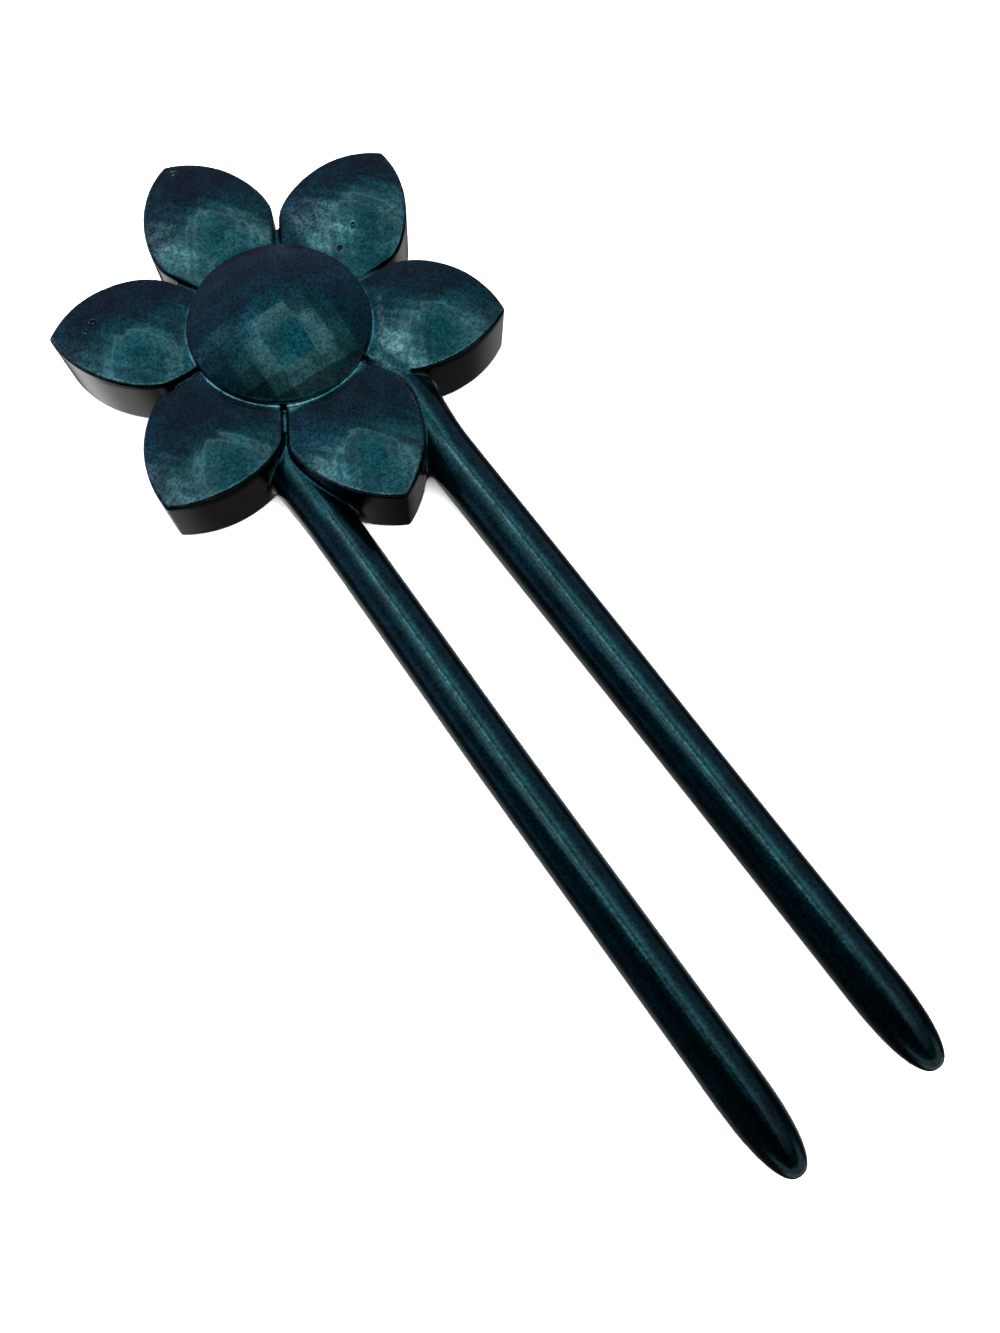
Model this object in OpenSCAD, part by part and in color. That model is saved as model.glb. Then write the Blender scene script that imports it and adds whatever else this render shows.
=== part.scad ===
// Two-pronged hair fork with a flower head, cast in one piece.
// It lies face up, as it is laid on a table: the flower's flat back is on z = 0 with its
// centre at the origin, and the prongs run towards -Y. Lengths are in millimetres.

/* [Flower] */
// Number of petals; the first one points along the prongs
petal_count = 6; // [5:1:7]
// Back of the flower to the petals' rims
flower_height = 7.4; // [6:0.2:9]
// Width of the groove between two petals
groove_w = 0.5; // [0.3:0.1:0.9]
// Depth of that groove below the petals' rims
groove_depth = 1.2; // [0.6:0.1:2.5]

/* [Petal] */
// Radius of a petal's round inner part
petal_round_r = 7.25; // [6.4:0.05:8.4]
// Centre of the flower to the centre of that round part
petal_round_at = 14.4; // [12.5:0.1:16]
// How far the pointed tip stands out past the round part
petal_point = 3.3; // [1.5:0.1:6]
// Angle past the widest point at which the flanks straighten, in degrees
flank_angle = 11; // [0:1:25]
// Height of the dome on a petal's face
petal_rise = 1.5; // [0.6:0.1:3]

/* [Disc] */
// Radius of the disc in the middle of the flower
disc_r = 10.4; // [8.6:0.1:12]
// How far the disc's rim stands above the petals' rims
disc_lip = 0.5; // [0.2:0.1:1.2]
// Height of the faceted dome on the disc
disc_rise = 2.7; // [1.2:0.1:4.5]
// Width of one flat facet of that dome
facet_w = 2.2; // [1.6:0.1:3.4]
// Rounding of the disc's edge
disc_edge_r = 1; // [0.5:0.1:1.8]

/* [Prongs] */
// Thickness of a prong
prong_d = 5.4; // [4.4:0.1:6.4]
// Petal's tip to the prongs' tips, the length that goes into the hair
prong_reach = 75.6; // [55:0.5:110]
// Distance between the prongs' centre lines at that petal's tip
prong_pitch = 15.7; // [13.5:0.1:18]
// Outward lean of each prong, in degrees
prong_splay = 0.4; // [0:0.1:1.5]
// How far the prongs lie above the plane of the flower's back
prong_lift = 0.1; // [0.1:0.1:1]
// Length of the taper at a prong's tip
tip_length = 9.7; // [6:0.1:16]
// Radius of the blunt nose that ends the taper
nose_r = 1.7; // [0.8:0.1:2]

/* [Prong roots] */
// How far a root's top lies below the petals' rims, at its inner end
root_drop = 0.5; // [0.3:0.1:1.5]
// How far a root reaches out past the disc's edge before it is a plain prong
root_length = 13.6; // [8:0.1:18]
// How far a root is let in behind the disc's edge
root_seat = 5.4; // [3:0.1:7]

/* [Hidden] */
$fn = 48;

// Straight pieces to one round stretch of a computed outline
arc_steps = 10;
// Turn from one petal to the next, and the turn that points the first one along the prongs
petal_turn = 360 / petal_count;
first_turn = -90;

prong_r = prong_d / 2;
flower_reach = petal_round_at + petal_round_r + petal_point;

// The flank arc touches the round part and ends in the tip
tip_from_round = flower_reach - petal_round_at;
flank_r = petal_round_r + (pow(tip_from_round, 2) - pow(petal_round_r, 2))
        / (2 * (petal_round_r - tip_from_round * sin(flank_angle)));
flank_x = petal_round_at - (flank_r - petal_round_r) * sin(flank_angle);
flank_y = (flank_r - petal_round_r) * cos(flank_angle);
flank_tip_angle = atan2(flank_y, flower_reach - flank_x);

// The petal's dome is centred between the disc's edge and the tip
petal_dome_at = (flower_reach + disc_r) / 2;
petal_dome_r = dome_radius((flower_reach - disc_r) / 2, petal_rise);
petal_top = flower_height + petal_rise;

disc_height = flower_height + disc_lip;
disc_dome_r = dome_radius(disc_r, disc_rise);
disc_dome_z = disc_height + disc_rise - disc_dome_r;
disc_top = disc_height + disc_rise;

// The edge arc touches the disc's wall and the dome's sphere from inside
edge_x = disc_r - disc_edge_r;
edge_z = disc_dome_z + sqrt(pow(disc_dome_r - disc_edge_r, 2) - pow(edge_x, 2));
edge_dome_angle = atan2(edge_z - disc_dome_z, edge_x);

// Facets lie on a grid of equal angles, and the grid covers the whole disc
facet_angle = 2 * asin(facet_w / 2 / disc_dome_r);
facet_count = ceil(asin(disc_r / disc_dome_r) / facet_angle) + 1;
facet_foot = -3 * disc_dome_r;

root_top = flower_height - root_drop;
root_inner_r = (root_top - prong_lift) / 2;
root_outer = disc_r + root_length;
root_inner = disc_r - root_seat;
root_tilt = atan2(root_inner_r - prong_r, root_outer - root_inner);
prong_length = flower_reach + prong_reach - root_inner;

// The shoulder arc of the tip touches the prong's wall and the nose
nose_at = tip_length - nose_r;
shoulder_r = (pow(nose_at, 2) + pow(prong_r, 2) - pow(nose_r, 2)) / (2 * (prong_r - nose_r));
shoulder_end_angle = atan2(nose_at, shoulder_r - prong_r);

// Radius of the sphere that rises by `rise` over a circle of radius `half`
function dome_radius(half, rise) = (half * half + rise * rise) / (2 * rise);

// Points of an arc round `centre`, both ends included
function arc(centre, radius, from, to) =
    [for (i = [0:arc_steps]) centre + radius * [cos(from + (to - from) * i / arc_steps),
                                                sin(from + (to - from) * i / arc_steps)]];

// A copy of the list without its first point
function rest(points) = [for (i = [1:len(points) - 1]) points[i]];

// Half turns round a petal: flank, round part, flank, starting at the tip
function petal_points() = concat(
    arc([flank_x, -flank_y], flank_r, flank_tip_angle, 90 - flank_angle),
    rest(arc([petal_round_at, 0], petal_round_r, 90 - flank_angle, 180)),
    rest(arc([petal_round_at, 0], petal_round_r, 180, 270 + flank_angle)),
    rest([for (p = arc([flank_x, -flank_y], flank_r, 90 - flank_angle, flank_tip_angle)) [p[0], -p[1]]])
);

// Places what follows at petal number `k`, with that petal's axis along +X
module at_petal(k) {
    rotate([0, 0, first_turn + petal_turn * k]) children();
}

// One petal: upright walls and a shallow dome for a face
module petal() {
    intersection() {
        linear_extrude(petal_top) polygon(petal_points());
        translate([petal_dome_at, 0, petal_top - petal_dome_r]) sphere(petal_dome_r);
    }
}

// The groove between a petal and the next one
module groove() {
    rotate([0, 0, petal_turn / 2])
        translate([0, -groove_w / 2, flower_height - groove_depth])
            cube([flower_reach, groove_w, petal_top]);
}

module petals() {
    color("#1f5560") difference() {
        union() for (k = [0:petal_count - 1]) at_petal(k) petal();
        for (k = [0:petal_count - 1]) at_petal(k) groove();
    }
}

// Half section of the disc: upright wall and rounded edge, open upwards over the dome
function disc_section() = concat(
    [[0, 0], [disc_r, 0]],
    arc([edge_x, edge_z], disc_edge_r, 0, edge_dome_angle),
    [[disc_dome_r * cos(edge_dome_angle), disc_top + disc_edge_r], [0, disc_top + disc_edge_r]]
);

// Corner (i, j) of the facet grid, i towards +X and j towards +Y. The poles are on the X axis:
// a column of facets is centred on x = 0, and two rows meet at y = 0.
function facet_corner(i, j) = [
    disc_dome_r * sin((i - 0.5) * facet_angle),
    disc_dome_r * cos((i - 0.5) * facet_angle) * sin(j * facet_angle),
    disc_dome_z + disc_dome_r * cos((i - 0.5) * facet_angle) * cos(j * facet_angle)
];

// Block whose top is the grid of flat facets and whose sides run down to one point
module faceted_block() {
    columns = 2 * facet_count + 2;
    rows = 2 * facet_count + 1;
    top = [for (j = [-facet_count:facet_count]) for (i = [-facet_count:facet_count + 1]) facet_corner(i, j)];
    last_row = (rows - 1) * columns;
    // The rim's corners in order: along the first row, up the last column, back, and down the first column
    rim = concat(
        [for (i = [0:columns - 1]) i],
        [for (j = [1:rows - 1]) j * columns + columns - 1],
        [for (i = [1:columns - 1]) last_row + columns - 1 - i],
        [for (j = [1:rows - 2]) last_row - j * columns]
    );
    polyhedron(concat(top, [[0, 0, facet_foot]]), concat(
        [for (j = [0:rows - 2]) for (i = [0:columns - 2])
            [for (c = [0, columns, columns + 1, 1]) j * columns + i + c]],
        [for (k = [0:len(rim) - 1]) [rim[k], rim[(k + 1) % len(rim)], len(top)]]
    ));
}

module disc() {
    color("#1c4552") intersection() {
        rotate_extrude() polygon(disc_section());
        faceted_block();
    }
}

// Half section of a prong: straight wall, shoulder arc and blunt nose
function prong_section() = concat(
    [[0, 0], [prong_r, 0]],
    arc([prong_r - shoulder_r, prong_length - tip_length], shoulder_r, 0, shoulder_end_angle),
    rest(arc([0, prong_length - nose_r], nose_r, shoulder_end_angle, 90))
);

// Places what follows on a prong's line, with y = 0 at the petal's tip; side is -1 or 1
module at_prong(side) {
    translate([side * prong_pitch / 2, -flower_reach, 0]) rotate([0, 0, side * prong_splay]) children();
}

module prong(side) {
    color("#123c46") at_prong(side)
        translate([0, flower_reach - root_inner, prong_lift + prong_r])
            rotate([90, 0, 0]) rotate_extrude() polygon(prong_section());
}

// The root swells from the prong to the height of the petals, flat along the back
module prong_root(side) {
    color("#17444f") at_prong(side)
        translate([0, flower_reach - root_outer, prong_lift + prong_r])
            rotate([root_tilt - 90, 0, 0])
                cylinder(h = (root_outer - root_inner) / cos(root_tilt), r1 = prong_r, r2 = root_inner_r);
}

module hair_fork() {
    union() {
        petals();
        disc();
        for (side = [-1, 1]) {
            prong(side);
            prong_root(side);
        }
    }
}

hair_fork();
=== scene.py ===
# %% [markdown]
# # A cast-resin hair fork with a flower head
# The real fork is one casting: a flower of six petals round a faceted centre, with two prongs
# that slide into a bun. The resin is almost black, and fine mica powder gives it a teal shimmer.
# This lesson builds it as one skin over one formula, lays it on a table and lights it.
# The packed model comes first, because every later cell works in its frame.

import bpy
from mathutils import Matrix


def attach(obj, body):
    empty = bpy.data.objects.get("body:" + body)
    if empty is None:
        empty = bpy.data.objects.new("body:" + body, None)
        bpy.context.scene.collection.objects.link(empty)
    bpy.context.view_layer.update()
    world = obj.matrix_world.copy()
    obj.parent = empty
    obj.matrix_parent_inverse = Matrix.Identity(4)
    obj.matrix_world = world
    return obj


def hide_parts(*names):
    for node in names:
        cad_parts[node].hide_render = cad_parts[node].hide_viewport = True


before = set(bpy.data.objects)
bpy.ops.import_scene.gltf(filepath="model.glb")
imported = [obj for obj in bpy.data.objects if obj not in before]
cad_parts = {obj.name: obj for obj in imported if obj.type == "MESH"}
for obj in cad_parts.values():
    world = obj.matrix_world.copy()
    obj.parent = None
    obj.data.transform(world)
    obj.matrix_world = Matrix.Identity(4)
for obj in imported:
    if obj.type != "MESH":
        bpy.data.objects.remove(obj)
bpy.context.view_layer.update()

# %% [markdown]
# ## The camera
# A camera can be aimed by hand until the picture looks right. Here its place was worked out
# from the outline of the fork in the picture, so it is set with numbers: where it stands, which
# way it looks, and which way is down in the picture. All lengths in this lesson are in
# millimetres, the unit a maker measures in, and MM turns them into Blender's metres.

# %% Camera
import bpy
import numpy as np
from mathutils import Matrix, Vector

MM = 0.001
EYE = Vector((-26.39, -74.29, 118.24))
LOOKS_ALONG = Vector((0.19806, 0.23986, -0.95039))
PICTURE_DOWN = Vector((-0.5463, -0.7780, -0.3102))
FOCAL_PIXELS = 1169.3
PICTURE_HEIGHT = 1333

scene = bpy.context.scene
lens = bpy.data.cameras.new("camera")
lens.sensor_fit, lens.sensor_width = "AUTO", 36.0
lens.lens = FOCAL_PIXELS * lens.sensor_width / PICTURE_HEIGHT
lens.clip_start, lens.clip_end = 5 * MM, 20000 * MM
camera = bpy.data.objects.new("camera", lens)
backwards = -LOOKS_ALONG.normalized()
up = (-PICTURE_DOWN - backwards * backwards.dot(-PICTURE_DOWN)).normalized()
turn = Matrix((up.cross(backwards), up, backwards)).transposed().to_4x4()
camera.matrix_world = Matrix.Translation(EYE * MM) @ turn
scene.collection.objects.link(camera)
scene.camera = camera
print("lens %.2f mm, camera %.0f mm above the table" % (lens.lens, EYE.z))

# %% [markdown]
# ## One formula for the whole shape
# A petal could be modelled by pulling a grid about, and the prongs by sweeping a circle. But the
# fork is a casting, and every place where two forms meet has a small hollow fillet that catches
# the light. Booleans leave knife edges there. So the shape is written as a *distance*: a formula
# that gives, for any point, how far it is from the resin, negative inside. Two distances join
# with a minimum, and a small change to that minimum rolls a fillet into the corner.

# %% Joining distances with round corners
def join(a, b, radius):
    """Both forms together, with a hollow fillet where they meet"""
    fillet = np.hypot(np.maximum(radius - a, 0), np.maximum(radius - b, 0))
    return np.maximum(radius, np.minimum(a, b)) - fillet


def common(a, b, radius):
    """What both forms share, with its edge rounded"""
    rounding = np.hypot(np.maximum(radius + a, 0), np.maximum(radius + b, 0))
    return np.minimum(-radius, np.maximum(a, b)) + rounding


def ease(value, low, high):
    """0 below low, 1 above high, and a smooth climb between"""
    t = np.clip((value - low) / (high - low), 0, 1)
    return t * t * (3 - 2 * t)


print("a fillet of 1 mm adds %.2f mm of resin in a corner" % -join(0.0, 0.0, 1.0))

# %% [markdown]
# ## A petal's outline
# Seen from above, a petal is a round bulb with two flank arcs that touch it and meet in a
# pointed tip. A curve drawn by hand would do, but then every later change means drawing again.
# Arcs that touch follow from four sizes, so the radius of the flanks is worked out here.

# %% A petal's outline
BULB_R, BULB_AT, TIP_AT = 7.36, 14.36, 25.0
FLANK_ANGLE = np.radians(11.0)
TIP_ROUND = 0.2

tip_from_bulb = TIP_AT - BULB_AT
flank_r = BULB_R + (tip_from_bulb**2 - BULB_R**2) / (2 * (BULB_R - tip_from_bulb * np.sin(FLANK_ANGLE)))
flank_x = BULB_AT - (flank_r - BULB_R) * np.sin(FLANK_ANGLE)
flank_y = (flank_r - BULB_R) * np.cos(FLANK_ANGLE)


def petal_outline(along, across):
    """Distance from the outline of a petal whose axis runs along +x"""
    across = np.abs(across)
    bulb = np.hypot(along - BULB_AT, across) - BULB_R
    near = np.hypot(along - flank_x, across + flank_y) - flank_r
    far = np.hypot(along - flank_x, across - flank_y) - flank_r
    past_bulb = (along - BULB_AT) * flank_y > across * (BULB_AT - flank_x)
    return np.where(past_bulb, common(near, far, TIP_ROUND), bulb)


print("flank arcs of %.1f mm radius" % flank_r)

# %% [markdown]
# ## Six petals that are not quite alike
# The real petals differ a little: each is turned, stretched and tapered in its own way, as if
# shaped by hand before the mould was made. Six separate models could show that. A row of six
# numbers for each difference is shorter, and one formula then serves all petals.

# %% What differs from petal to petal
SIXTH = np.pi / 3
# One number per petal, from the one between the prongs and on towards +X: its turn in degrees,
# its width and length as factors, how far its wall draws in at the table, where the top of its
# face lies off the regular place, and how much the face levels out beside the disc, from 0 to 1
TURN = np.radians([-0.75, -0.35, -0.3, -0.35, 0.3, -0.45])
WIDTH = np.array([1.0, 0.955, 1.0, 1.0, 0.938, 1.0])
LENGTH = np.array([1.018, 0.996, 1.002, 1.006, 1.0, 0.997])
DRAFT = np.array([0.05, 0.17, 0.15, 0.13, 0.36, 0.2])
FACE_SHIFT_X = np.array([-0.2, 0.3, 1.75, 0.95, 0.0, 1.35])
FACE_SHIFT_Y = np.array([0.2, 0.9, 1.15, 0.05, 0.0, -0.5])
COLLAR = np.array([1.0, 0.7, 0.0, 0.0, 0.5, 1.0])
print("tips from %.2f to %.2f mm off the centre" % (TIP_AT * LENGTH.min(), TIP_AT * LENGTH.max()))

# %% [markdown]
# ## A faint unevenness
# Polishing has left slow waves of a few hundredths of a millimetre, which only the reflections
# show. A bump texture could fake them. A few sine waves added to the height are real shape
# instead, and they never repeat within the flower.

# %% Ripples
def ripple(x, y):
    """A faint unevenness left by hand polishing"""
    long = 0.014 * np.sin(0.9 * x + 0.5 * y + 1) + 0.010 * np.sin(1.3 * y - 0.6 * x)
    short = 0.006 * np.sin(2.3 * x + 1.7 * y + 2) + 0.004 * np.sin(4.1 * x - 2.3 * y)
    return long + (short + 0.004 * np.sin(3.1 * y + 3.7 * x + 1))


span = np.linspace(-TIP_AT, TIP_AT, 101)
print("ripples of up to %.3f mm" % np.abs(ripple(span[:, None], span[None, :])).max())

# %% [markdown]
# ## The petals' walls and faces
# A petal's walls stand upright, and its face is a shallow dome whose outer part keeps an even
# slope. That is a rounded cone: a part of a ball would go on getting steeper. Near the disc some
# faces level out into a collar. All petals are one form turned by 60 degrees, so the point is
# turned instead, and its angle is folded back to the nearest petal.

# %% One petal
RIM_Z, RIM_EDGE = 7.37, 0.38
FACE_AT, FACE_RISE, FACE_SLOPE, FACE_BEND = 17.5, 1.2, 0.32, 6.0
SLOT, SLOT_EDGE = 0.56, 0.3
COLLAR_Z, COLLAR_FROM, COLLAR_TO = 7.38, 10.2, 11.6


def petal(x, y, z, number):
    """Distance from one petal, cut off half a slot before its neighbours"""
    which = number.astype(int) % 6
    radius, angle = np.hypot(x, y), np.arctan2(x, -y) - number * SIXTH
    slot = np.abs(np.sin(angle)) * np.cos(SIXTH / 2) - np.cos(angle) * np.sin(SIXTH / 2)
    slot = radius * slot + SLOT / 2
    angle = angle - TURN[which]
    outline = petal_outline(radius * np.cos(angle) / LENGTH[which], radius * np.sin(angle) / WIDTH[which])
    outline = outline + DRAFT[which] * (1 - z / RIM_Z)
    face_x = FACE_AT * np.sin(which * SIXTH) + FACE_SHIFT_X[which]
    face_y = -FACE_AT * np.cos(which * SIXTH) + FACE_SHIFT_Y[which]
    out = np.sqrt((x - face_x) ** 2 + (y - face_y) ** 2 + FACE_BEND**2)
    drop, fall = FACE_SLOPE * (out - FACE_BEND), FACE_SLOPE * (1 - FACE_BEND / out)
    height = RIM_Z + FACE_RISE - drop - ripple(x, y)
    height = height + (COLLAR_Z - height) * COLLAR[which] * (1 - ease(radius, COLLAR_FROM, COLLAR_TO))
    face = (z - height) / np.sqrt(1 + fall**2)
    return common(common(outline, slot, SLOT_EDGE), face, RIM_EDGE)


print("petal faces rise %.1f mm over their rims" % FACE_RISE)

# %% [markdown]
# ## All petals and the floor of the slots
# Thin slots part the petals, but they don't reach the table: a round plinth joins the petals
# below. A point needs only its nearest petal and the one on that petal's nearer side, so two
# distances are worked out instead of six.

# %% All petals
SLOT_FLOOR, PLINTH_R, PLINTH_EDGE, PLINTH_VALLEY = 6.35, 13.2, 0.3, 0.15
BASE_EDGE = 0.35


def petals(x, y, z):
    """Distance from the six petals and their plinth"""
    angle = np.arctan2(x, -y)
    number = np.round(angle / SIXTH)
    beside = number + np.where(angle > number * SIXTH, 1, -1)
    flower = np.minimum(petal(x, y, z, number), petal(x, y, z, beside))
    plinth = common(np.hypot(x, y) - PLINTH_R, z - SLOT_FLOOR, PLINTH_EDGE)
    return common(join(flower, plinth, PLINTH_VALLEY), -z, BASE_EDGE)


over_petal = [np.array([value]) for value in (0.0, FACE_AT, 12.0)]
print("a point 12 mm up over a petal is %.2f mm from the resin" % petals(*over_petal)[0])

# %% [markdown]
# ## The faceted centre
# The disc's dome is made of flat squares, like a cut stone. A plane that touches a smooth dome
# at the middle of each square gives exactly that, because the lowest of neighbouring planes is
# the visible one. A little of the smooth dome is blended in, because polishing has softened the
# edges between the facets.

# %% The centre disc
DISC_R, DISC_TOP, DOME_R = 10.10, 10.4, 20.75
DISC_AT = (-0.12, -0.22)
FACET = np.radians(6.0)
PILLOW = 0.3
SHOULDER = 0.18


def disc(x, y, z):
    """Distance from the disc and its faceted dome"""
    z_dome = z - DISC_TOP + DOME_R
    turn_x, turn_y = np.arctan2(x, np.hypot(y, z_dome)), np.arctan2(y, z_dome)
    flat = None
    for step_x in (-1, 0, 1):
        for step_y in (-1, 0, 1):
            facet_x = FACET * (np.round(turn_x / FACET) + step_x)
            facet_y = FACET * (np.floor(turn_y / FACET) + 0.5 + step_y)
            plane = np.cos(facet_x) * (np.sin(facet_y) * y + np.cos(facet_y) * z_dome)
            plane = np.sin(facet_x) * x + plane - DOME_R
            flat = plane if flat is None else np.maximum(flat, plane)
    smooth = np.sqrt(x**2 + y**2 + z_dome**2) - DOME_R
    top = flat * (1 - PILLOW) + smooth * PILLOW
    wall = np.hypot(x - DISC_AT[0], y - DISC_AT[1]) - DISC_R
    return np.maximum(common(wall, top, SHOULDER), -z)


print("facets of %.1f mm on a disc of %.1f mm radius" % (DOME_R * FACET, DISC_R))

# %% [markdown]
# ## Prongs
# Each prong is a round bar on a centre line that leans out a little. Towards the flower it
# swells and rises into the corner between two petals, which makes its root. Its other end
# narrows to a blunt nose. A bar and a cone would show a ring where they meet. The nose is a
# superellipse instead: a rule with a power of about 2.4 makes a fuller end than an ellipse does.

# %% Prongs and their roots
PRONG_R, PRONG_LIFT = 2.70, 0.05
# at: from the middle to the centre line, beside the petal's tip. lean: outwards per millimetre.
# inset: back inwards near the flower. end: the tip. thicker, swell: growth of the radius along
# the bar and into the root
LEFT = dict(side=-1, at=8.05, lean=0.0025, inset=0.27, end=-100.9, thicker=0.0, swell=0.35)
RIGHT = dict(side=1, at=7.42, lean=0.0125, inset=0.08, end=-101.3, thicker=0.22, swell=0.6)
ROOT_FROM, ROOT_TO, ROOT_END = -22.0, -12.0, -5.0
THICKER_FROM, THICKER_TO = -75.0, -25.0
INSET_FROM, INSET_TO = -58.0, -24.0
NOSE_LENGTH, NOSE_POWER = 9.7, 2.44


def prong(x, y, z, side, at, lean, inset, end, thicker, swell):
    """Distance from one prong, which ends inside the flower"""
    bar_r = PRONG_R + thicker * ease(y, THICKER_FROM, THICKER_TO) + swell * ease(y, ROOT_FROM, ROOT_TO)
    middle = side * (at - lean * (y + TIP_AT) - inset * ease(y, INSET_FROM, INSET_TO))
    away = np.hypot(x - middle, z - bar_r - PRONG_LIFT)
    into_nose = np.maximum(end + NOSE_LENGTH - y, 0) / NOSE_LENGTH
    rule = ((away / bar_r) ** NOSE_POWER + into_nose**NOSE_POWER) ** (1 / NOSE_POWER)
    return np.maximum(bar_r * (rule - 1), y - ROOT_END)


print("prongs end at y = %.1f and %.1f mm" % (LEFT["end"], RIGHT["end"]))

# %% [markdown]
# ## The casting as a whole
# Flower, disc and prongs were poured together, so their joints are soft valleys. The valleys
# round the roots are wider near the table, where resin has pooled between petal and prong. One
# speck stands proud on the left prong. Joining the distances keeps every valley in one place,
# where separate parts would each need their own.

# %% Flower, disc, prongs and the speck
DISC_VALLEY, ROOT_VALLEY, SPECK_VALLEY = 0.22, 0.35, 0.2
WEB, WEB_FROM, WEB_TO = 1.1, 1.0, 5.0
SPECK = (-5.5, -68.6, 2.8, 0.35)


def ball(x, y, z, cx, cy, cz, radius):
    """Distance from a ball"""
    return np.sqrt((x - cx) ** 2 + (y - cy) ** 2 + (z - cz) ** 2) - radius


def casting(x, y, z):
    """Distance from the fork without its pits"""
    bars = join(prong(x, y, z, **LEFT), prong(x, y, z, **RIGHT), ROOT_VALLEY)
    flower = join(petals(x, y, z), bars, ROOT_VALLEY + WEB * (1 - ease(z, WEB_FROM, WEB_TO)))
    whole = join(flower, disc(x, y, z), DISC_VALLEY)
    return join(whole, ball(x, y, z, *SPECK), SPECK_VALLEY)


print("12 mm up over a petal, the whole casting is %.2f mm away" % casting(*over_petal)[0])

# %% [markdown]
# ## Marks of the casting
# Bubbles that rose to the mould leave tiny pits. They are small balls, taken away. A painted
# dot would stay flat when the light moves, and a real hollow doesn't. A pit has to lie on the
# surface, and the formula tells where that is: halving the height between inside and outside
# twenty times finds it.

# %% Pits, and the distance from the finished fork
PITS = [(0.35, 23.3, 0.42), (-16.9, 10.7, 0.36), (-18.15, 10.1, 0.30), (13.5, 5.8, 0.26), (10.8, 4.5, 0.24)]
PIT_ABOVE, PIT_EDGE, HALVINGS = 0.05, 0.08, 20
SURELY_INSIDE, SURELY_OUTSIDE = 5.0, 12.0


def top_of(x, y):
    """Height of the casting's surface over one point"""
    low, high = np.array([SURELY_INSIDE]), np.array([SURELY_OUTSIDE])
    for _ in range(HALVINGS):
        middle = (low + high) / 2
        inside = casting(np.array([x]), np.array([y]), middle) < 0
        low, high = np.where(inside, middle, low), np.where(inside, high, middle)
    return float(low[0])


pit_balls = [(x, y, top_of(x, y) + PIT_ABOVE, radius) for x, y, radius in PITS]
print("pits at heights", ["%.2f" % pit[2] for pit in pit_balls])


def fork(x, y, z):
    """Distance from the whole fork: below zero inside the resin"""
    whole = casting(x, y, z)
    for pit in pit_balls:
        whole = common(whole, -ball(x, y, z, *pit), PIT_EDGE)
    return np.maximum(whole, -z)


# %% [markdown]
# ## From the formula to a skin
# A *surface net* turns a distance into a mesh. Space is cut into small boxes, each box that the
# surface passes through gets one vertex, and four boxes round a crossed edge give one face.
# Blender's remesher does something like it, but with boxes of one size for all. Here they are
# fine over the flower and longer along the prongs, where little changes.

# %% Grid
def steps(*stops):
    """Grid lines from stop to stop: (where it ends, how wide the boxes are)"""
    lines = [np.array([stops[0]])]
    for end, width in stops[1:]:
        start = lines[-1][-1]
        count = int(round((end - start) / width))
        lines.append(np.linspace(start, end, count + 1)[1:])
    return np.concatenate(lines)


fine = 0.205
# The first and last stop of each direction lie just outside the fork
grid = (
    steps(-22.6, (22.6, fine)),
    steps(-101.9, (-90.0, 2 * fine), (-30.0, 5 * fine), (-25.6, 2 * fine), (25.4, fine)),
    steps(-0.4, (0.8, fine), (5.6, 4 * fine), (10.8, fine)),
)
print("grid of", [len(lines) for lines in grid], "lines")

# %% [markdown]
# ## Which boxes hold the surface
# A box that the surface passes through has corners on both sides of it. The distance is worked
# out once for every corner of the grid, and then it is enough to count each box's inside
# corners: the surface passes where they are neither none nor all eight.

# %% Crossed boxes
def crossed_boxes(value):
    """Marks the boxes that have corners both inside and outside"""
    inside = value < 0
    boxes = tuple(length - 1 for length in value.shape)
    filled = sum(
        inside[i : i + boxes[0], j : j + boxes[1], k : k + boxes[2]].astype(np.int8)
        for i in (0, 1) for j in (0, 1) for k in (0, 1)
    )
    return (filled > 0) & (filled < 8)


value = fork(grid[0][:, None, None], grid[1][None, :, None], grid[2][None, None, :])
crossed = crossed_boxes(value)
print("%d of %d boxes are crossed" % (crossed.sum(), crossed.size))

# %% [markdown]
# ## A vertex in each crossed box
# A vertex in the middle of its box would make stairs. The distances at the two ends of an edge
# tell where the surface cuts it, and the mean of the cuts of a box's twelve edges lies close to
# the surface.

# %% One vertex for each crossed box
def net_points(axes, value, box):
    """For each box, the mean of the places where the surface cuts its edges"""
    total, hits = np.zeros((len(box), 3)), np.zeros((len(box), 1))
    for axis, shift_u, shift_v in ((n, u, v) for n in range(3) for u in (0, 1) for v in (0, 1)):
        start = box.copy()
        start[:, (axis + 1) % 3] += shift_u
        start[:, (axis + 2) % 3] += shift_v
        end = start.copy()
        end[:, axis] += 1
        a, b = value[tuple(start.T)], value[tuple(end.T)]
        cut = (a < 0) != (b < 0)
        share = np.where(cut, a / np.where(cut, a - b, 1), 0)
        point = np.stack([axes[n][start[:, n]] for n in range(3)], 1)
        point[:, axis] += share * (axes[axis][end[:, axis]] - axes[axis][start[:, axis]])
        total += point * cut[:, None]
        hits += cut[:, None]
    return total / hits


points = net_points(grid, value, np.argwhere(crossed))
print("%d vertices" % len(points))

# %% [markdown]
# ## A face round each crossed edge
# Where an edge of the grid runs from inside to outside, the surface passes through all four
# boxes round it. Their four vertices make one face. Its corners are listed in the order that
# turns its front outwards, because Blender tells inside from outside by that order.

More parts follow.
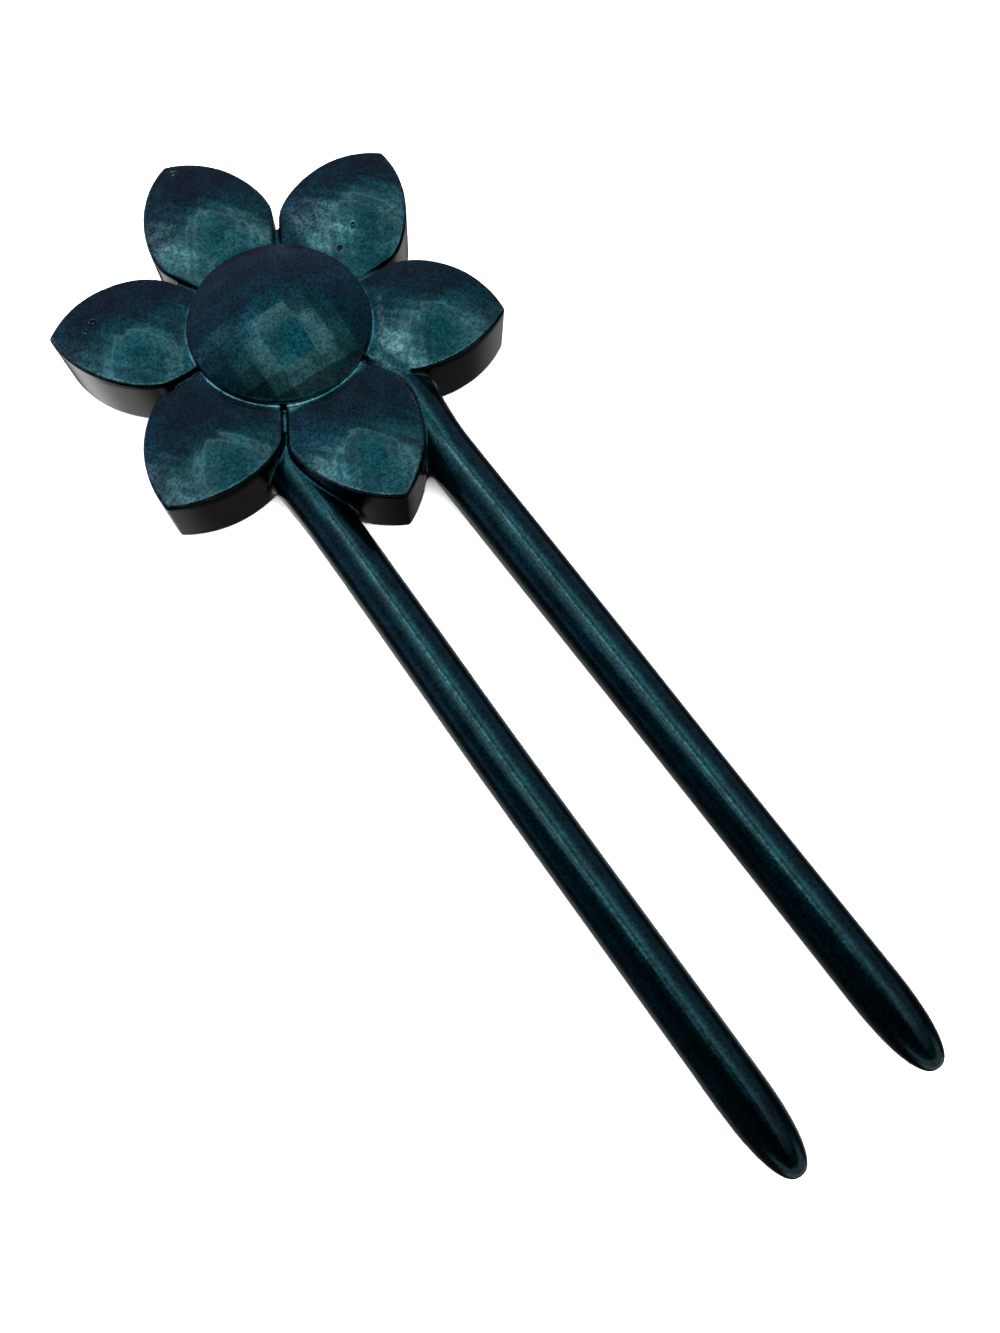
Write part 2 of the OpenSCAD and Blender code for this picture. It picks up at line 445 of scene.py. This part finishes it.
# %% One face for each crossed edge
def net_faces(value, number):
    """Faces through the four boxes round each edge, given every box's vertex number"""
    inside = value < 0
    quads = []
    for axis in range(3):
        u, v = (axis + 1) % 3, (axis + 2) % 3
        ahead, behind = np.moveaxis(inside, axis, 0)[1:], np.moveaxis(inside, axis, 0)[:-1]
        edge = np.argwhere(np.moveaxis(ahead != behind, 0, axis))
        edge = edge[(edge[:, u] > 0) & (edge[:, v] > 0)]
        edge = edge[(edge[:, u] < number.shape[u]) & (edge[:, v] < number.shape[v])]
        ring = []
        for back_u, back_v in ((1, 1), (0, 1), (0, 0), (1, 0)):
            cell = edge.copy()
            cell[:, u] -= back_u
            cell[:, v] -= back_v
            ring.append(number[tuple(cell.T)])
        ring = np.stack(ring, 1)
        outward = inside[tuple(edge.T)]
        quads.append(np.where(outward[:, None], ring, ring[:, ::-1]))
    return np.concatenate(quads)


number = np.full(crossed.shape, -1, np.int64)
number[crossed] = np.arange(crossed.sum())
quads = net_faces(value, number)
print("%d faces" % len(quads))

# %% [markdown]
# ## Onto the true surface
# The net's vertices are only near the surface, which would show as a faint grain in the
# reflections. Smoothing would take it away and the edges with it. So each vertex slides down
# the slope of the distance until it lies on the surface itself.

# %% Sliding the vertices
SLIDES, LONGEST_SLIDE, LEAST_SLOPE = 4, 0.15, 0.05


def slope(points, distance, reach=0.02):
    """Which way the distance grows fastest, at each point"""
    columns = []
    for axis in range(3):
        shift = np.zeros(3)
        shift[axis] = reach
        columns.append(distance(*(points + shift).T) - distance(*(points - shift).T))
    return np.stack(columns, 1) / (2 * reach)


for _ in range(SLIDES):
    way = slope(points, fork)
    move = -fork(*points.T)[:, None] * way / np.maximum((way**2).sum(1, keepdims=True), LEAST_SLOPE)
    points += np.clip(move, -LONGEST_SLIDE, LONGEST_SLIDE)
print("largest miss %.3f mm" % np.abs(fork(*points.T)).max())

# %% [markdown]
# ## The mesh and its flat back
# The flower's back was most likely the open side of the mould, so it is flat. A Decimate
# modifier could thin it out, but it would touch the rest as well. Here the vertices close to
# the table are set exactly on it, and all faces between them become one, which looks the same
# and weighs less.

# %% Mesh with a flat back
import bmesh

ON_TABLE, ZERO = 0.02, 1e-7

points[np.abs(points[:, 2]) < ON_TABLE, 2] = 0.0
mesh = bpy.data.meshes.new("hair_fork")
mesh.from_pydata((points * MM).tolist(), [], quads.tolist())
net = bmesh.new()
net.from_mesh(mesh)
underside = [face for face in net.faces if all(abs(corner.co.z) < ZERO for corner in face.verts)]
bmesh.ops.dissolve_faces(net, faces=underside, use_verts=False)
net.to_mesh(mesh)
net.free()
print("%d faces of the back became one" % len(underside))

# %% [markdown]
# ## Smooth shading
# Polished resin shows every unevenness in its reflections. Blender can average the faces round
# a vertex to shade them smoothly, but the formula knows the exact direction of the surface, and
# handing that over keeps the reflections clean.

# %% Shading directions from the formula
SHADING_REACH = 0.04

corners = np.zeros(len(mesh.vertices) * 3)
mesh.vertices.foreach_get("co", corners)
normals = slope(corners.reshape(-1, 3) / MM, fork, SHADING_REACH)
normals /= np.linalg.norm(normals, axis=1, keepdims=True)
mesh.polygons.foreach_set("use_smooth", np.ones(len(mesh.polygons), bool))
mesh.normals_split_custom_set_from_vertices(normals.tolist())
piece = bpy.data.objects.new("fork_casting", mesh)
scene.collection.objects.link(piece)
triangles = sum(face.loop_total - 2 for face in mesh.polygons)
print("%d vertices, %d triangles" % (len(mesh.vertices), triangles))

# %% [markdown]
# ## Shader maths as Python
# A finish can be wired by hand in the node editor, but a large tree is hard to follow there. It
# is easier to read as a formula. This class wraps one socket: adding, multiplying or comparing
# wrapped sockets adds the Math nodes, and `add` makes any other node.

# %% Sockets that do arithmetic
class Wire:
    """One socket, with arithmetic that adds nodes"""

    def __init__(self, tree, socket=None):
        self.tree, self.socket = tree, socket

    def add(self, kind, settings=None, sockets=None, output=0):
        """A node of this kind: its settings first, then values or links for its sockets"""
        node = self.tree.nodes.new("ShaderNode" + kind)
        for name, value in (settings or {}).items():
            setattr(node, name, value)
        for name, value in (sockets or {}).items():
            if isinstance(value, Wire):
                self.tree.links.new(value.socket, node.inputs[name])
            else:
                node.inputs[name].default_value = value
        return Wire(self.tree, node.outputs[output] if len(node.outputs) else None)

    def maths(self, operation, *values):
        """A Math node on these values"""
        return self.add("Math", {"operation": operation}, dict(enumerate(values)))

    def __add__(self, other):
        return self.maths("ADD", self, other)

    def __sub__(self, other):
        return self.maths("SUBTRACT", self, other)

    def __rsub__(self, other):
        return self.maths("SUBTRACT", other, self)

    def __mul__(self, other):
        return self.maths("MULTIPLY", self, other)

    def __truediv__(self, other):
        return self.maths("DIVIDE", self, other)

    def __rtruediv__(self, other):
        return self.maths("DIVIDE", other, self)

    def __pow__(self, other):
        return self.maths("POWER", self, other)

    def __rpow__(self, other):
        return self.maths("POWER", other, self)

    def __neg__(self):
        return self.maths("MULTIPLY", self, -1.0)

    def __abs__(self):
        return self.maths("ABSOLUTE", self)

    __radd__, __rmul__ = __add__, __mul__

    def larger(self, other):
        """The larger of this value and the other"""
        return self.maths("MAXIMUM", self, other)

    def ramp(self, low, high):
        """0 below low, 1 above high, smooth between"""
        bounds = {"Value": self, "From Min": low, "From Max": high}
        return self.add("MapRange", {"interpolation_type": "SMOOTHSTEP"}, bounds)

    def parts(self):
        """The three numbers of a vector"""
        node = self.add("SeparateXYZ", None, {"Vector": self}).socket.node
        return [Wire(self.tree, node.outputs[n]) for n in range(3)]

    def mixed(self, first, second):
        """A colour between two colours, by this much of the second"""
        # The colour sockets of a Mix node are its inputs 6 and 7 and its output 2
        return self.add("Mix", {"data_type": "RGBA"}, {"Factor": self, 6: first, 7: second}, 2)


def material(name):
    """A new material with nothing in it yet, and a wire to build it with"""
    made = bpy.data.materials.new(name)
    made.use_nodes = True
    made.node_tree.nodes.clear()
    return made, Wire(made.node_tree)


BLACK, WHITE = (0.0, 0.0, 0.0, 1), (1.0, 1.0, 1.0, 1)
print("a wire can:", ", ".join(name.strip("_") for name in vars(Wire) if callable(getattr(Wire, name))))

# %% [markdown]
# ## The resin: where a point lies and how the surface leans
# The real resin is nearly black, and its mica flakes shine teal where they face the light. A painted picture
# could carry that shimmer, but it would be blurred from close by. So the shimmer, and much of the light and
# shade on the flakes, is painted into the finish at each point from two things: the point's place on the
# fork, in millimetres, and the lean of the surface there, from -1 to 1 towards +x, +y and +z. A ramp turns
# such a number into a mask: it is 0 up to the ramp's first number and 1 from its second one on.

# %% Masks for the parts of the fork
resin, wire = material("mica_resin")
place = wire.add("TexCoord", output="Object")
at_x, at_y, at_z = [part / MM for part in place.parts()]
lean_x, lean_y, lean_z = wire.add("NewGeometry", output="Normal").parts()

from_centre = (at_x * at_x + at_y * at_y) ** 0.5
past_disc, at_rims = from_centre.ramp(10.3, 10.8), at_z.ramp(6.8, 7.4)
on_petals = past_disc * at_rims
on_disc = (1 - from_centre.ramp(9.8, 10.2)) * at_rims
on_prongs = (1 - at_y.ramp(-23.5, -19.5)) * (1 - at_z.ramp(6.0, 6.6))
# Painted shade: the top of the petals' walls, on the side of the prongs, where flakes and coat are dimmed
rim_painted_dark = past_disc * at_z.ramp(6.5, 6.8) * (-lean_y).ramp(0.45, 0.6)
print("masks for petals, disc, prongs and rims: %d nodes" % len(resin.node_tree.nodes))

# %% [markdown]
# ## Flakes and clouds
# Up close the flakes are grains of a third of a millimetre. From further off they gather in
# clouds of two or three millimetres, as the powder was stirred in. Two noise textures of
# different scale give both. Single flakes as separate meshes would be far too many.

# %% Flakes and clouds
GRAINS_PER_MM, CLOUDS_PER_MM = 3.2, 0.42

grain = wire.add("TexNoise", None, {
    "Vector": place,
    "Scale": GRAINS_PER_MM / MM,
    "Detail": 2.0,
    "Roughness": 0.6,
})
cloud = wire.add("TexNoise", None, {
    "Vector": place,
    "Scale": CLOUDS_PER_MM / MM,
    "Detail": 3.0,
    "Roughness": 0.55,
})
print("grains of %.2f mm and clouds of %.1f mm" % (1 / GRAINS_PER_MM, 1 / CLOUDS_PER_MM))

# %% [markdown]
# ## Painted reflections and light on the petals
# On the real petals pale patches lie where the dome leans towards a window and mirrors it, and the flakes
# between them are brighter on some slopes than on others. Reflections alone could do that, but one room
# can't please all surfaces at once. So these reflections and this light are painted into the flakes' colour:
# each patch is a range of leans, and the largest of the patches counts. The price is that these painted
# patches stay where they are when the fork is turned.

# %% Petals
leans_left = (1 - lean_x.ramp(-0.27, -0.09)) * (1 - lean_y.ramp(-0.02, 0.12))
leans_left = leans_left * (0.6 + 0.4 * (-lean_x).ramp(0.15, 0.26))
leans_near = 0.5 * (1 - lean_y.ramp(-0.34, -0.16))
leans_right = 0.6 * lean_x.ramp(0.0, 0.14) * (1 - lean_y.ramp(-0.30, -0.10))
upper_left = 0.9 * (1 - lean_x.ramp(-0.32, -0.23)) * (1 - lean_y.ramp(0.1, 0.3))
far_right = 0.7 * lean_x.ramp(0.24, 0.32) * (1 - lean_y.ramp(0.05, 0.2))
steep_left = (1 - lean_x.ramp(-0.42, -0.34)) * lean_y.ramp(-0.12, 0.0)
painted_patches = leans_left
for patch in (leans_near, upper_left, far_right, leans_right):
    painted_patches = painted_patches.larger(patch)
painted_patches = on_petals * painted_patches * (1 - 0.6 * steep_left)

petal_light_gain = 0.9 - 0.85 * lean_y.ramp(-0.44, -0.2)
petal_light_gain = petal_light_gain + 0.3 * lean_y.ramp(0.0, 0.1) * (1 - lean_x.ramp(-0.22, -0.12))
petal_light_gain = petal_light_gain - 0.3 * lean_y.ramp(-0.06, 0.06) * lean_x.ramp(-0.17, -0.07)
petal_light_gain = petal_light_gain + 0.6 * (-lean_x).ramp(0.14, 0.26)
petal_painted_light = 1 + on_petals * petal_light_gain
print("with the petals: %d nodes" % len(resin.node_tree.nodes))

# %% [markdown]
# ## Painted light, shade and reflection on the disc
# The disc's facets tilt in steps. Its left side and its near side are painted dark, its far side is painted
# lighter, and between them a rough square ring of facets is painted paler than the rest, as a painted
# reflection. Each facet could have its own colour. But in leans that ring is a plain ellipse, and the facets
# themselves give it its corners.

# %% Disc
RING_AT, RING_R = (-0.035, -0.2), (0.165, 0.17)

to_left = (-lean_x).ramp(0.10, 0.32)
disc_painted_shade = on_disc * to_left * (-lean_y).ramp(0.10, 0.34)
painted_lift = 0.55 * to_left * lean_y.ramp(-0.17, 0.03) + 0.3 * lean_y.ramp(-0.06, 0.02)
painted_lift = on_disc * painted_lift * (1 - 0.8 * lean_y.ramp(0.045, 0.09))
near_side = on_disc * (-lean_y).ramp(0.34, 0.47)
disc_light_and_shade = (1 - 0.85 * disc_painted_shade) * (1 + 1.1 * painted_lift) * (1 - 0.55 * near_side)

ring_x, ring_y = (lean_x - RING_AT[0]) / RING_R[0], (lean_y - RING_AT[1]) / RING_R[1]
off_ring = (ring_x * ring_x + ring_y * ring_y) ** 0.5 - 1
ring = on_disc * (1 - abs(off_ring).ramp(0.15, 0.5))
print("with the disc: %d nodes" % len(resin.node_tree.nodes))

# %% [markdown]
# ## A painted highlight on the prongs
# A round bar mirrors a lamp as a streak along its length. On the real prongs it is pale and soft, with a
# dark band beside it, and it fades at the tips. A lamp that is mirrored would give its sharp core alone, so
# the soft glow is a painted highlight in the flakes' colour, and the dark band, a lighter left flank and the
# darker tips are painted too. The streak lies where the bar leans a little to the left, and it drifts with
# x, because the lamp isn't far away.

# %% Prongs
STREAK_LEAN, STREAK_DRIFT = -0.095, 0.0042

off_streak = lean_x - STREAK_LEAN + STREAK_DRIFT * at_x
painted_streak = on_prongs * (1 - abs(off_streak).ramp(0.0, 0.085)) * (0.2 + 0.8 * at_y.ramp(-95.0, -78.0))
left_of_streak = on_prongs * (-off_streak).ramp(0.02, 0.08)
left_flank = on_prongs * (-lean_x).ramp(0.3, 0.5)
tip = on_prongs * (1 - at_y.ramp(-98.5, -87.0))
prong_painted_light = (1 - 0.12 * on_prongs) * (1 + 0.45 * painted_streak) * (1 - 0.3 * left_of_streak)
prong_painted_light = prong_painted_light * (1 + 0.9 * left_flank) * (1 - 0.45 * tip)
print("with the prongs: %d nodes" % len(resin.node_tree.nodes))

# %% [markdown]
# ## The colour of the flakes, with its painted light
# The mica is greener on slopes that face the viewer and paler in the painted reflections and highlights. It
# is mixed in that order, because each colour lies over the one before. The amount of flakes, together with
# the painted light and shade of petals, disc, prongs and rims, then scales it, and the steep walls are
# painted almost black: the real resin is nearly black, and its flakes there catch no light. A colour ramp
# could do the same for one mask, but several masks overlap here.

# %% Colour
TEAL, TEAL_ON_SLOPES = (0.008, 0.155, 0.20, 1), (0.007, 0.158, 0.175, 1)
PAINTED_LIGHT_TEAL, RING_REFLECTION, PALE_REFLECTION = (0.06, 0.21, 0.25, 1), (0.065, 0.205, 0.23, 1), (0.165, 0.36, 0.39, 1)
WALLS_IN_SHADE = (0.002, 0.002, 0.003, 1)

amount_and_light = (0.42 + 1.2 * grain.ramp(0.3, 0.7)) * (0.72 + 0.56 * cloud.ramp(0.3, 0.7))
# Painted light and shade: the petals', disc's and prongs' factors and the painted dark rims scale the flakes
# here
amount_and_light = amount_and_light * petal_painted_light * disc_light_and_shade * prong_painted_light * (1 - 0.9 * rim_painted_dark)
pale = painted_patches * (0.5 + 0.7 * cloud.ramp(0.35, 0.65)) + 0.75 * painted_streak
flakes_and_light = (-lean_y).ramp(0.2, 0.42).mixed(TEAL, TEAL_ON_SLOPES)
flakes_and_light = (0.55 * painted_lift).mixed(flakes_and_light, PAINTED_LIGHT_TEAL)
flakes_and_light = (ring * (0.35 + 0.5 * cloud.ramp(0.3, 0.7))).mixed(flakes_and_light, RING_REFLECTION)
flakes_and_light = pale.mixed(flakes_and_light, PALE_REFLECTION)
flakes_and_light = wire.add("VectorMath", {"operation": "SCALE"}, {0: flakes_and_light, "Scale": amount_and_light})
flakes_and_light = lean_z.ramp(0.25, 0.7).mixed(WALLS_IN_SHADE, flakes_and_light)
print("with the colour: %d nodes" % len(resin.node_tree.nodes))

# %% [markdown]
# ## A painted highlight in the corner round the disc
# The hollow fillet where the disc meets the petals catches the light as a thin pale line. A thin ring of
# mesh could stand for it, but it has no thickness to speak of. So it is a painted highlight, colour alone: a
# ring just outside the disc, brighter towards -x and -y, broken up by the clouds, and not metallic, so it
# stays pale whatever the fillet mirrors.

# %% Painted highlight
HIGHLIGHT_OUT, HIGHLIGHT_COLOUR = 0.14, (0.05, 0.08, 0.09, 1)

out_x, out_y = at_x - DISC_AT[0], at_y - DISC_AT[1]
off_line = (out_x * out_x + out_y * out_y) ** 0.5 - (DISC_R + HIGHLIGHT_OUT)
painted_highlight = (1 - abs(off_line).ramp(0.02, 0.12)) * at_z.ramp(7.0, 7.3)
painted_highlight = painted_highlight * (0.35 + 0.65 * (-out_x - 0.55 * out_y).ramp(0.0, 10.5))
painted_highlight = painted_highlight * (0.25 + 0.65 * cloud.ramp(0.4, 0.62))
flakes_and_light = painted_highlight.mixed(flakes_and_light, HIGHLIGHT_COLOUR)
print("powder line at %.2f mm from the disc's middle" % (DISC_R + HIGHLIGHT_OUT))

# %% [markdown]
# ## The clear coat
# Above the flakes lies clear, polished resin, which mirrors the room sharply. A coat over a rougher metallic
# layer gives both at once. Under the flower's edge, on the prongs' lower flanks and between the roots the
# real fork mirrors hardly anything bright, so the coat is weakened there as painted shade, and so it is on
# the dark side and the front of the disc and on the rims painted dark.

# %% Coat
between_roots = (1 - (at_x * at_x).ramp(36.0, 64.0)) * (1 - at_y.ramp(-19.0, -15.0))
between_roots = between_roots * (1 - lean_z.ramp(0.3, 0.6)) * (1 - lean_x.ramp(-0.5, 0.1))
right_prong = at_x.ramp(0.0, 1.0) * at_y.ramp(-75.0, -45.0)
low_flank = on_prongs * (1 - lean_z.ramp(0.25, 0.5)) * (1 - right_prong)
disc_front = on_disc * (1 - lean_y.ramp(0.08, 0.2))
coat = (1 - 0.7 * disc_painted_shade) * (1 - 0.8 * between_roots) * (1 - 0.75 * low_flank)
coat = coat * (1 - 0.85 * rim_painted_dark) * (1 - 0.4 * disc_front)
shade = wire.add("BsdfPrincipled", None, {
    "Base Color": flakes_and_light,
    "Metallic": 1 - painted_highlight,
    "Roughness": 0.32,
    "Normal": wire.add("Bump", None, {"Strength": 0.6, "Distance": 0.03 * MM, "Height": grain}),
    "Coat Weight": coat,
    "Coat Roughness": 0.06,
    "Coat IOR": 1.5,
})
wire.add("OutputMaterial", None, {"Surface": shade})
mesh.materials.append(resin)
print("the finished resin has %d nodes" % len(resin.node_tree.nodes))

# %% [markdown]
# ## The table
# The fork lies on a plain white table. A floor that ends in view would show its far edge when
# the fork is looked at from the side, so this one begins to glow at 22 cm from the flower and
# is pure white from 60 cm on, like the backdrop. It is left out of the reflections, because the
# real fork mirrors hardly any of it.

# %% Table
TABLE_HALF, GLOWS_FROM, GLOWS_TO = 3000, 220, 600


def sheet(name, corners, finish):
    """A flat sheet with four corners, in one finish"""
    made = bpy.data.meshes.new(name)
    made.from_pydata(corners, [], [(0, 1, 2, 3)])
    made.materials.append(finish)
    placed = bpy.data.objects.new(name, made)
    scene.collection.objects.link(placed)
    return placed


table_white, wire = material("white_table")
top_x, top_y = [part / MM for part in wire.add("TexCoord", output="Object").parts()[:2]]
glow = ((top_x * top_x + top_y * top_y) ** 0.5).ramp(GLOWS_FROM, GLOWS_TO).mixed(BLACK, WHITE)
shade = wire.add("BsdfPrincipled", None, {
    "Base Color": (0.85, 0.85, 0.85, 1),
    "Roughness": 0.9,
    "Emission Color": glow,
    "Emission Strength": 1.0,
})
wire.add("OutputMaterial", None, {"Surface": shade})
half = TABLE_HALF * MM
floor = sheet("table", [(-half, -half, 0), (half, -half, 0), (half, half, 0), (-half, half, 0)], table_white)
floor.visible_glossy = False
print("table of %.0f mm by %.0f mm" % (2 * TABLE_HALF, 2 * TABLE_HALF))

# %% [markdown]
# ## The key light
# The shadow round the real fork is faint and soft on all sides, which takes a large light close
# above. A small lamp would draw a hard edge. The lamp itself isn't mirrored: what the resin
# mirrors is painted into the room, where its shape can be chosen.

# %% Key light
LAMP_SIZE, LAMP_AT, LAMP_WATTS = 900, Vector((-30, 0, 600)), 22.0

light = bpy.data.lights.new("soft_box", "AREA")
light.shape, light.energy = "RECTANGLE", LAMP_WATTS
light.size, light.size_y = LAMP_SIZE * MM, LAMP_SIZE * MM
lamp = bpy.data.objects.new("soft_box", light)
lamp.location = LAMP_AT * MM
lamp.visible_glossy = False
scene.collection.objects.link(lamp)
print("soft box %.0f mm above the table" % LAMP_AT.z)

# %% [markdown]
# ## A black card for the reflections
# Where the facets tilt towards the viewer, the real resin mirrors something dark and close by.
# A dark patch in the room can't do that: being far away, it would be mirrored in the same spot
# of every petal. So a black card stands beside and below the camera, as photographers use, and
# only reflections see it. Its corners are measured from the lens, right and up in the picture.

# %% Black card
CARD_LEFT, CARD_RIGHT, CARD_TOP, CARD_BOTTOM, CARD_BEHIND = -110, 70, 5, -190, 1

card_black, wire = material("black_card")
shade = wire.add("BsdfPrincipled", None, {"Base Color": BLACK, "Specular IOR Level": 0.0})
wire.add("OutputMaterial", None, {"Surface": shade})
across_up = [(CARD_LEFT, CARD_TOP), (CARD_RIGHT, CARD_TOP)]
across_up += [(CARD_RIGHT, CARD_BOTTOM), (CARD_LEFT, CARD_BOTTOM)]
card_corners = [camera.matrix_world @ Vector((u * MM, v * MM, CARD_BEHIND * MM)) for u, v in across_up]
flag = sheet("black_card", card_corners, card_black)
flag.visible_camera = flag.visible_diffuse = flag.visible_shadow = flag.visible_transmission = False
print("black card of %d mm by %d mm" % (CARD_RIGHT - CARD_LEFT, CARD_TOP - CARD_BOTTOM))

# %% [markdown]
# ## The room
# The bright shapes on the fork are mirror images of a room that the picture doesn't show. A
# photographed panorama would bring in windows of its own. So the room is painted as a formula
# of the direction that a reflection looks in. Dividing by the height turns directions into
# places on a flat ceiling: `across` grows to the right and `ahead` away from the prongs.

# %% Directions, and the dim ceiling
world = bpy.data.worlds.new("room")
scene.world = world
world.use_nodes = True
world.node_tree.nodes.clear()
sky = Wire(world.node_tree)
ray_x, ray_y, ray_z = sky.add("TexCoord", output="Generated").parts()
LEAST_HEIGHT = 0.05
height = ray_z.larger(LEAST_HEIGHT)
across, ahead = ray_x / height, ray_y / height

LEFT_WALL = (0.01, 0.014, 0.018, 1)
CEILING, FAR_CEILING = (0.085, 0.065, 0.085, 1), (0.125, 0.088, 0.13, 1)
room = across.ramp(-1.35, -0.45).mixed(LEFT_WALL, CEILING)
room = ahead.ramp(0.4, 1.1).mixed(room, FAR_CEILING)
print("ceiling: %d nodes" % len(world.node_tree.nodes))

# %% [markdown]
# ## The window and its bright arch
# Over the flower hangs a wide, soft glow. In it stands an arch, like a round-topped window with
# a bright frame, and every petal mirrors it. It could be a mesh that gives off light, but as a
# formula its edges can be as soft as the mirror images are. The arch is an ellipse whose upper
# and lower halves have their own heights. The distance from it gives the broad rim, a thin
# brighter line in that rim, and the dim greenish pane inside.

# %% Glow and arch
GLOW_AT, GLOW_R, GLOW_COLOUR = (0.06, 0.05), (1.1, 0.82), (0.34, 0.36, 0.36, 1)
ARCH_X, ARCH_WIDE, ARCH_NARROWER = 0.165, 0.365, 0.07
ARCH_ABOVE, ARCH_UP, ARCH_BELOW, ARCH_DOWN, ARCH_MEAN = 0.2, 0.38, -0.02, 0.4, 0.32
PANE, ARCH_COLOUR, LINE_COLOUR = (0.05, 0.14, 0.14, 1), (0.52, 0.62, 0.65, 1), (1.05, 1.7, 1.8, 1)

off_glow = (((across - GLOW_AT[0]) / GLOW_R[0]) ** 2 + ((ahead - GLOW_AT[1]) / GLOW_R[1]) ** 2) ** 0.5
room = (1 - off_glow.ramp(0.3, 0.95)).mixed(room, GLOW_COLOUR)

side = (across - ARCH_X) / (ARCH_WIDE - ARCH_NARROWER * across.ramp(0.1, 0.25))
above = (ahead - ARCH_ABOVE).larger(0.0) / ARCH_UP
under = (ARCH_BELOW - ahead).larger(0.0) / ARCH_DOWN
off_arch = ((side * side + above * above + under * under) ** 0.5 - 1) * ARCH_MEAN
pane = (1 - off_arch.ramp(-0.26, -0.10)) * ahead.ramp(-0.3, 0.0)
arch = (1 - abs(off_arch).ramp(0.015, 0.085)) * ahead.ramp(-0.5, 0.1) * (1 - 0.2 * across.ramp(0.2, 0.4))
line = (1 - abs(off_arch).ramp(0.0, 0.03)) * ahead.ramp(-0.2, 0.2)
room = (0.85 * pane).mixed(room, PANE)
room = arch.mixed(room, ARCH_COLOUR)
room = line.mixed(room, LINE_COLOUR)
print("with glow and arch: %d nodes" % len(world.node_tree.nodes))

# %% [markdown]
# ## The dark side of the room and its low wall
# Towards the prongs' tips the ceiling is black, which keeps the petals' near slopes dark. Low
# down on that side stands a grey wall. Only views from other sides mirror it, and the fork would
# be a plain black shape in them without it.

# %% Dark side and low wall
LOW_WALL = (0.24, 0.26, 0.27, 1)

room = ahead.ramp(-1.1, -0.7).mixed(BLACK, room)
low_wall = (1 - ray_z.ramp(0.34, 0.5)) * (1 - ray_y.ramp(-0.65, -0.4))
room = low_wall.mixed(room, LOW_WALL)
print("with the low wall: %d nodes" % len(world.node_tree.nodes))

# %% [markdown]
# ## What the fork mirrors from below
# The flanks of the prongs and the petals' walls mirror the white table in a few places only,
# because the fork shades the table close by. A mirrored table can't be steered, so it was left
# out, and soft white areas of the lower half of the room take its place.

# %% Below the horizon
UNDER_FORK, TABLE_GLARE, TABLE_GREY = (0.01, 0.01, 0.012, 1), (2.0, 2.0, 2.0, 1), (0.5, 0.5, 0.5, 1)

from_left = (-ray_x).ramp(0.1, 0.4) * (0.24 * ray_y.ramp(-0.45, 0.05) + 0.22 * ray_y.ramp(0.1, 0.4))
from_right = 0.18 * ray_x.ramp(0.36, 0.66)
below = ((from_left + from_right) * (-ray_z).ramp(0.45, 0.8)).mixed(UNDER_FORK, TABLE_GLARE)
below = (0.1 * (-ray_z).ramp(0.6, 0.85)).mixed(below, TABLE_GREY)
far_table = (-ray_z).ramp(0.02, 0.12) * (1 - (-ray_z).ramp(0.5, 0.62))
past_prongs = ray_y.ramp(0.6, 0.75) + (-ray_y).ramp(0.6, 0.8)
below = (0.35 * far_table * past_prongs).mixed(below, WHITE)
room = ray_z.ramp(-0.02, 0.02).mixed(below, room)
print("with the lower half: %d nodes" % len(world.node_tree.nodes))

# %% [markdown]
# ## White behind everything
# The room is for reflections alone. Where the camera looks past the table it should see plain
# white, as in a product picture. The Light Path node tells the two apart. The Standard view
# keeps that white at full white, while the other views would turn it grey.

# %% Backdrop and view
room = sky.add("LightPath", output="Is Camera Ray").mixed(room, WHITE)
background = sky.add("Background", None, {"Color": room, "Strength": 1.0})
sky.add("OutputWorld", None, {"Surface": background})
scene.view_settings.view_transform = "Standard"
print("the finished room has %d nodes" % len(world.node_tree.nodes))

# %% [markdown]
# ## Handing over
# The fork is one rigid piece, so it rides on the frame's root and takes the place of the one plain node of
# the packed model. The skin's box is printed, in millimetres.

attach(piece, "root")
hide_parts("hair_fork")
print("the skin reaches from", points.min(0).round(2), "to", points.max(0).round(2), "mm")

# %% [markdown]
# ## End: nothing follows the handing over
